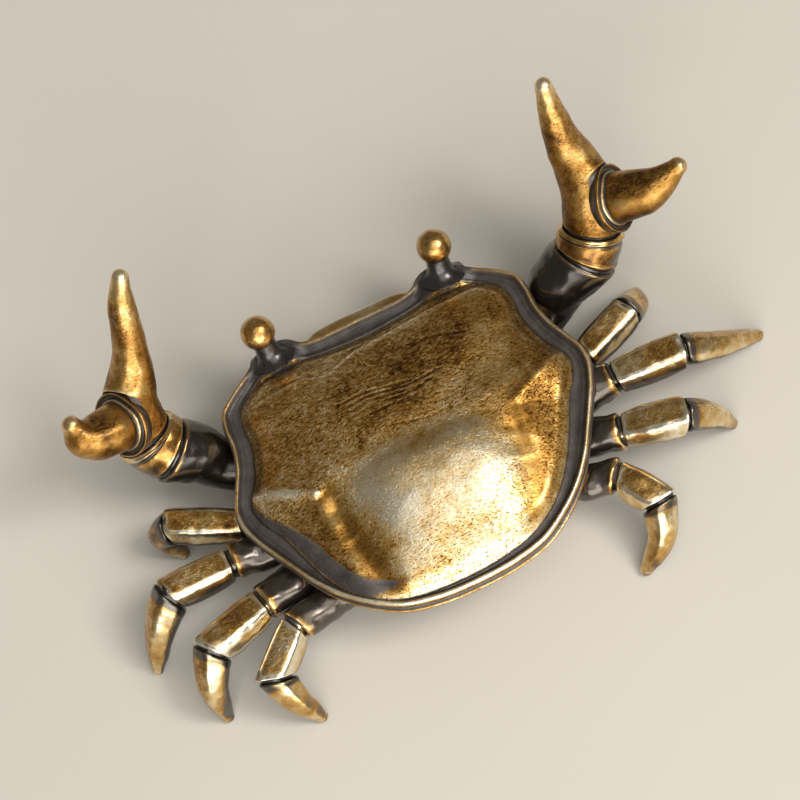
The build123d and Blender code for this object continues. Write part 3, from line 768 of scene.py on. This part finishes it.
def make_shank(name, ends, planes, index, seed):
    """A leg's shank between two grooves: a filed top with a worn border, a painted highlight strip on its
    rear side.
    """
    foot, middle, end = SHANK_RADII[index]
    length = np.linalg.norm(ends[1] - ends[0])
    distance, radius = barrel(length, foot - 0.30, (foot, middle, end), end - 0.2, LEG_GROOVE, 0.26)
    rows, angles = sweep(ends, distance, radius, ((90, 0.83), (22, 0.97), (158, 0.97)), *planes, 128)
    rows = worked(rows, 0.05, seed + 2)
    worn, sunk = marks(rows, distance, LEG_GROOVE, length, dark=0.62, shaded=PATINA_AND_SHADE_LEANS[index])
    inside = facet(angles, distance, 1.06, LEG_GROOVE + 0.45, length - 0.42, middle)
    filed = smooth(inside, -0.05, 0.15)
    uneven = 0.5 + 0.9 * np.clip(lumps(rows, 0.5, seed + 9), -0.5, 0.6)
    worn = worn * (1.0 - 0.6 * filed) + 0.44 * bump(inside, -0.03, 0.08) * uneven - 0.07 * filed
    # Painted highlight: skin that faces rearward and up, off the filed top, is lightened as if lit from
    # behind
    painted_highlight = smooth(normals(rows) @ unit(np.array([0.0, -0.75, 0.66])), 0.55, 0.85)
    front_leg = index == 0
    worn = worn + 0.24 * painted_highlight * (1.0 - filed) - 0.10 * front_leg
    sunk = sunk * (1.0 - filed) + 0.16 * front_leg
    surface(f"{name}_shank", rows, worn, sunk, 0.1 + 0.5 * filed, "limb_brass")


def make_toe(name, path, plane, radii, mirror, seed):
    """A leg's toe: it tapers round its bow to a tip that rests on the ground."""
    foot, middle = radii
    tip = 0.58
    length = curve_through(path, 200)[1][-1]
    places = (0.0, 0.15, np.linalg.norm(path[1] - path[0]) / length, 0.8, 1.0)
    widths = (foot, foot, middle, middle * 0.72, tip)
    distance, radius = tapered(length, LEG_GROOVE, foot - 0.32, places, widths, tip)
    rows, _ = sweep(path, distance, radius, ((55, 0.94), (125, 0.94)), plane)
    rows = worked(rows, 0.04, seed + 4)
    rows[..., 2] = np.maximum(rows[..., 2], 0.0)
    worn, sunk = marks(rows, distance, LEG_GROOVE, NO_LIP, level=-0.04, dark=0.50, shaded=(-0.2, 0.25))
    # Painted shade: faces that turn away from the body, forward and up are darkened, on the left toes more
    # than the right; faces that turn towards the body, rearward and down get patina and painted shade
    inner = normals(rows) @ unit(np.array([-0.6, -0.6, -0.3]) * mirror)
    outer = smooth(-inner, 0.05, 0.5)
    outer_shade = 0.20 if mirror[0] < 0 else 0.05
    worn = worn + 0.12 * smooth(distance, length - 2.0, length)[:, None] - outer_shade * outer
    sunk = sunk + 0.50 * (1.0 - smooth(distance, LEG_GROOVE + 0.5, LEG_GROOVE + 1.1))[:, None]
    sunk = sunk + 0.46 * smooth(inner, 0.42, 0.72)
    surface(f"{name}_toe", rows, worn, sunk, 0.1 + 0.5 * outer, "limb_brass")


def make_legs():
    """Each leg's three castings, cut at its joints on the planes that halve the bends."""
    for side, legs in LEGS.items():
        mirror = np.array([-1.0 if side == "left" else 1.0, 1.0, 1.0])
        for index, (root_end, knee, bow, tip) in enumerate(legs):
            name = f"{side}_leg_{index + 1}"
            hip = HIPS[index] * mirror
            seed = 11 + index * 7 + (50 if side == "left" else 0)
            root_plane = joint_normal(hip, root_end, knee)
            knee_plane = joint_normal(root_end, knee, bow)
            make_root(name, (hip, root_end), root_plane, ROOT_RADII[index] + 0.14, seed)
            make_shank(name, (root_end, knee), (root_plane, knee_plane), index, seed)
            make_toe(name, (knee, bow, tip), knee_plane, TOE_RADII[side][index], mirror, seed)


def make_arm(side, path, plane, seed):
    """A dark upper arm that comes out from under the shell and widens to the elbow."""
    edge = 0.35
    length = curve_through(path, 200)[1][-1]
    knots = lengths_along(path)
    knots = knots / knots[-1] * length
    width = np.interp(np.linspace(0.0, length - edge, 90), knots, (2.0, 2.35, 2.85, 3.05))
    distance, radius = lipped(length, width, edge, 0.30, 2.6, 10)
    rows, _ = sweep(path, distance, radius, end_normal=plane, around=128)
    rows = worked(rows, 0.11, seed, 1.9)
    worn, sunk = marks(rows, distance, NO_GROOVE, length, start_ring=0.0, dark=0.10, end_ring=0.3)
    sunk = sunk + 1.0 - 0.70 * bump(distance, length - 0.3, 0.22)[:, None]
    surface(f"{side}_arm", rows, worn, sunk, 0.0, "dark_brass")


def make_wrist(side, ends, planes, seed):
    """A short barrel between two grooves, with a bead at either end and a hollow beside the outer one."""
    neck = 2.72
    length = np.linalg.norm(ends[1] - ends[0])
    distance, radius = barrel(length, neck, (2.95, 3.06, 2.9), neck, WRIST_GROOVE, 0.2, rows=48)
    hollow = bump(distance, length - 0.66, 0.14)
    beads = 0.10 * bump(distance, 0.52, 0.12) + 0.12 * bump(distance, length - 0.34, 0.13)
    radius = radius + beads - 0.10 * hollow
    rows, _ = sweep(ends, distance, radius, (), *planes, 128, mitre=1.2)
    rows = worked(rows, 0.05, seed + 3)
    worn, sunk = marks(rows, distance, WRIST_GROOVE, length, -0.18, end_ring=0.2, start_ring=0.2, dark=0.40)
    sunk = sunk + 0.16 + 0.3 * hollow[:, None]
    surface(f"{side}_wrist", rows, worn, sunk, 0.0, "limb_brass")


def make_palm(side, wrist_end, plane, seed):
    """A palm that tapers into the long finger, cut flat round the thumb's socket with a collar about it. The
    left finger has a narrow hollow down its outer side.
    """
    way = np.concatenate([wrist_end[None], FINGERS[side]])
    length = curve_through(way, 300)[1][-1]
    knots = lengths_along(way)
    widths = FINGER_RADII[side]
    distance, radius = tapered(
        length, PALM_GROOVE, 2.5, knots / knots[-1], widths, widths[-1], rows=230, blur=31
    )
    rows, _ = sweep(way, distance, radius, (), plane, None, 208)
    rows = worked(rows, 0.05, seed + 6)
    thumb = THUMBS[side]
    axis = unit(thumb[1] - thumb[0])
    arm = rows - thumb[0]
    ahead = arm @ axis
    aside = np.linalg.norm(arm - ahead[..., None] * axis, axis=-1)
    wide = THUMB_RADII[side][0]
    facing = smooth(ahead, -1.4, -0.4)
    cut = (1.0 - smooth(aside, wide + 0.84, wide + 1.0)) * facing
    collar = bump(aside, wide + 1.06, 0.14) * facing
    rows = rows + axis * (0.08 * collar - np.maximum(ahead + 0.25, 0.0) * cut)[..., None]
    worn, sunk = marks(rows, distance, PALM_GROOVE, NO_LIP, dark=0.22)
    if side == "left":
        bend = (-19.6, 15.5, 19.4)
        hollow = np.maximum(
            near_segment(rows, (-18.9, 16.5, 20.6), bend, 0.34),
            near_segment(rows, bend, (-19.7, 13.8, 17.3), 0.30),
        )
        rows = rows - normals(rows) * (0.12 * hollow)[..., None]
        sunk = sunk + 0.5 * hollow
    tip = smooth(distance, length - 4.0, length)[:, None]
    upper = smooth(distance, length * 0.35, length * 0.6)[:, None]
    worn = worn + 0.12 * collar + 0.08 * tip - 0.26 + 0.16 * upper
    surface(f"{side}_palm", rows, worn, sunk + 0.7 * cut, 0.3, "claw_brass")


def make_thumb(side, seed):
    """A curved horn with a blunt tip that rises out of a ringed socket."""
    thumb, widths = THUMBS[side], THUMB_RADII[side]
    length = curve_through(thumb, 200)[1][-1]
    body = np.linspace(0.45, length, 120)[1:]
    knots = lengths_along(thumb)
    width = blurred(np.interp(body / length, knots / knots[-1], widths), 25)
    end, fall = rounded_tip(length, width[-1], widths[-1])
    distance = np.concatenate([[-1.0], SOCKET[:, 0], body, end])
    radius = np.concatenate([[CLOSED], widths[0] + SOCKET[:, 1], width, fall])
    rows, _ = sweep(thumb, distance, radius, ((90, 0.93),), around=144, calm=60)
    rows = worked(rows, 0.03, seed + 9)
    worn, sunk = marks(rows, distance, NO_GROOVE, NO_LIP, start_ring=0.0, dark=0.16)
    worn[1:1 + len(SOCKET)] = SOCKET[:, 2:3]
    sunk[1:1 + len(SOCKET)] = SOCKET[:, 3:4]
    tip = smooth(distance, length - 1.2, length + 0.4)[:, None]
    upper = smooth(normals(rows)[..., 2], 0.80, 0.93) * (1.0 - tip)
    worn = worn + 0.20 * tip - 0.20 - 0.08 * upper
    surface(f"{side}_thumb", rows, worn, sunk, 0.1 + 0.5 * upper, "claw_brass")


def make_claws():
    """Each claw's four castings, cut at the elbow and the wrist on the planes that halve the bends."""
    for side, path in ARMS.items():
        seed = 101 if side == "left" else 161
        elbow_plane = joint_normal(path[2], path[3], path[4])
        wrist_plane = joint_normal(path[3], path[4], FINGERS[side][0])
        make_arm(side, path[:4], elbow_plane, seed)
        make_wrist(side, path[3:], (elbow_plane, wrist_plane), seed)
        make_palm(side, path[4], wrist_plane, seed)
        make_thumb(side, seed)


def make_eyes():
    """Each eye as one turned profile: a foot that flares into the shell's lug, a neck, and the ball."""
    ball_radius, neck = 1.6, 1.04
    for side, (foot, ball) in EYES.items():
        length = np.linalg.norm(ball - foot)
        lower = np.linspace(0.0, length - 1.24, 60)
        swing = np.linspace(-math.acos(neck / ball_radius), math.pi / 2 * NEAR_POLE, 50)
        distance = np.concatenate([[0.0], lower, length + ball_radius * np.sin(swing)])
        radius = np.concatenate([[CLOSED], 1.03 + 1.25 * np.exp(-lower / 0.45), ball_radius * np.cos(swing)])
        rows, _ = sweep((foot, ball), distance, radius, around=112)
        rows = worked(rows, 0.03, 201)
        # The flare is cut back where it would stand out in front of the lug
        front = 12.30 + 0.25 * np.maximum(rows[..., 2] - 8.0, 0.0)
        rows[..., 1] = np.where(rows[..., 2] < 9.0, np.minimum(rows[..., 1], front), rows[..., 1])
        below = 1.0 - smooth(distance, length - 1.45, length - 0.75)[:, None]
        worn = (0.04 + 0.06 * lumps(rows, 0.9, 7)) * (1.0 - below)
        surface(f"{side}_eye", rows, worn, 0.70 * below, 0.6, "eye_brass")


# Belly from its flat middle up to the plate: share of its outline and height
BELLY_SECTION = np.array([
    (0.76, 1.92), (0.84, 2.25), (0.90, 2.85), (0.95, 3.6), (0.985, 4.5), (1.0, 5.4), (1.0, 6.2),
])
# Edge of the plate under the rim: inset, height, worn mark, recessed mark
PLATE_SECTION = (
    (1.1, 6.2, 0.0, 0.3), (0.7, 6.2, 0.0, 0.3), (0.46, 6.24, 0.0, 0.2), (0.34, 6.34, 0.1, 0.1),
    (0.30, 6.5, 0.16, 0.06), (0.30, 6.75, 0.16, 0.06), (0.36, 6.94, 0.2, 0.04), (0.5, 7.05, 0.14, 0.06),
    (0.8, 7.08, 0.0, 0.2), (1.4, 7.08, 0.0, 0.3),
)


def make_underbody():
    """Thorax as rings about the shell's middle: belly swelling outward and up, with three seams a side, then
    the plate under the rim with the brow in front.
    """
    angles, heading = turned_about(480)
    belly = reach(closed_loop(DOME_HALF), angles)
    rim = closed_loop(RIM_HALF)
    brow = closed_loop(BROW_HALF)
    in_front = (np.abs(heading[:, 0]) < 0.42) & (heading[:, 1] > 0)
    plain = (0.0, 0.25)
    rings = [(belly * share, 1.90, *plain) for share in np.linspace(0.03, 0.74, 40)]
    knots = lengths_along(BELLY_SECTION)
    for share, height in between(np.linspace(0.0, knots[-1], 30), knots, BELLY_SECTION):
        rings.append((belly * share, height, *plain))
    for inset, height, bright, dark in PLATE_SECTION:
        plate = reach(rim, angles, inset)
        plate = np.where(in_front, np.maximum(plate, reach(brow, angles, inset - 0.3)), plate)
        rings.append((plate, height, bright + 0.25 * in_front, dark * (1 - 0.8 * in_front)))
    inner, top = rings[-1][:2]
    rings += [(inner * share, top, *plain) for share in (0.9, 0.5, 0.03)]
    radii, levels, worn, sunk = stacked(rings)
    flat = SHELL_CENTRE + radii[..., None] * heading
    aside, forward = np.abs(flat[..., 0]), flat[..., 1]
    seam = np.zeros_like(levels)
    for along, lean in ((-2.9, 6.0), (-6.1, -6.0), (-9.0, -18.0)):
        middle = np.array([7.6, along])
        half = 3.2 * np.array([math.cos(math.radians(lean)), math.sin(math.radians(lean))])
        seam = np.maximum(seam, near_line(aside, forward, middle - half, middle + half, 0.22))
    seam = seam * (levels < 4.0)
    rows = np.concatenate([flat, (levels + 0.3 * seam)[..., None]], axis=-1)
    rows = worked(rows, 0.04, 301, 2.2)
    surface("underbody", rows, worn, sunk + 0.4 * seam, 0.0, "dark_brass")


make_shell()
make_underbody()
make_eyes()
make_claws()
make_legs()

flap = bpy.data.objects["abdomen_flap"]
flap.data.materials.clear()
flap.data.materials.append(BRASS["dark_brass"])


# Studio
def camera_axes():
    """Image right, image down and forward as unit vectors, from the elevation, the azimuth and the roll."""
    high, turned, roll = (math.radians(angle) for angle in (66.0, 1.6, 27.0))
    back = np.array([math.sin(turned) * math.cos(high), -math.cos(turned) * math.cos(high), math.sin(high)])
    ahead = -back
    right = unit(np.cross(ahead, np.array([0.0, 0.0, 1.0])))
    down = np.cross(ahead, right)
    return (
        math.cos(roll) * right + math.sin(roll) * down,
        -math.sin(roll) * right + math.cos(roll) * down,
        ahead,
    )


RIGHT, DOWN, AHEAD = camera_axes()


def make_camera():
    """Camera on the photograph's line of sight."""
    aim = np.array([0.0, 0.0, 6.0])
    aside, below, away = 0.636, 2.273, 309.09
    spot = aim - (aside * RIGHT + below * DOWN + away * AHEAD) - MIDDLE
    lens = bpy.data.cameras.new("camera")
    lens.lens = 153.0
    lens.sensor_width = 36.0
    lens.clip_start = 0.01
    eye = placed("camera", lens)
    turned = np.stack([RIGHT, -DOWN, -AHEAD], axis=-1)
    eye.matrix_world = Matrix.Translation(spot * MILLIMETRE) @ Matrix(turned.tolist()).to_4x4()
    bpy.context.scene.camera = eye


def softbox(name, direction, distance, size, strength, colour):
    """A rectangular lamp that faces the crab from a direction, the strength its brightness per area."""
    direction = unit(np.asarray(direction, float))
    lamp = bpy.data.lights.new(name, "AREA")
    lamp.shape = "RECTANGLE"
    lamp.size, lamp.size_y = size
    lamp.energy = strength * math.pi * size[0] * size[1]
    lamp.color = colour
    made = placed(name, lamp)
    side = unit(np.cross(direction, RIGHT + 0.01 * DOWN))
    turned = np.stack([np.cross(side, direction), side, direction], axis=-1)
    target = np.array([0.0, 0.0, 0.006])
    made.matrix_world = Matrix.Translation(target + direction * distance) @ Matrix(turned.tolist()).to_4x4()


def make_floor():
    """Plain pale ground under the crab."""
    material = bpy.data.materials.new("pale_ground")
    material.use_nodes = True
    tree = material.node_tree
    shader = tree.nodes["Principled BSDF"]
    shader.inputs["Roughness"].default_value = 0.7
    place = node(tree, "ShaderNodeTexCoord").outputs["Object"]
    cloud = grain(tree, place, 9.0, 2.0, 0.5)
    shades = ((0.3, (0.650, 0.610, 0.530)), (0.7, (0.700, 0.655, 0.575)))
    tree.links.new(colour_ramp(tree, cloud, shades), shader.inputs["Base Color"])
    mesh = bpy.data.meshes.new("ground")
    mesh.from_pydata([(-2, -2, 0), (2, -2, 0), (2, 2, 0), (-2, 2, 0)], [], [(0, 1, 2, 3)])
    mesh.materials.append(material)
    ground = placed("ground", mesh)


make_camera()
make_floor()
softbox("key", (0.56, -0.30, 0.78), 0.7, (0.24, 0.24), 11.0, (1.0, 0.98, 0.95))
softbox("window", (-0.05, -0.95, 0.31), 0.75, (0.95, 0.46), 3.8, (1.0, 0.99, 0.97))
softbox("overhead", (0.20, -0.40, 0.89), 0.8, (0.80, 0.80), 1.5, (1.0, 0.98, 0.95))
world = bpy.data.worlds.new("room")
world.use_nodes = True
room_light = world.node_tree.nodes["Background"].inputs
room_light["Color"].default_value = (1.0, 0.96, 0.90, 1.0)
room_light["Strength"].default_value = 0.20
bpy.context.scene.world = world
bpy.context.scene.view_settings.view_transform = "Standard"
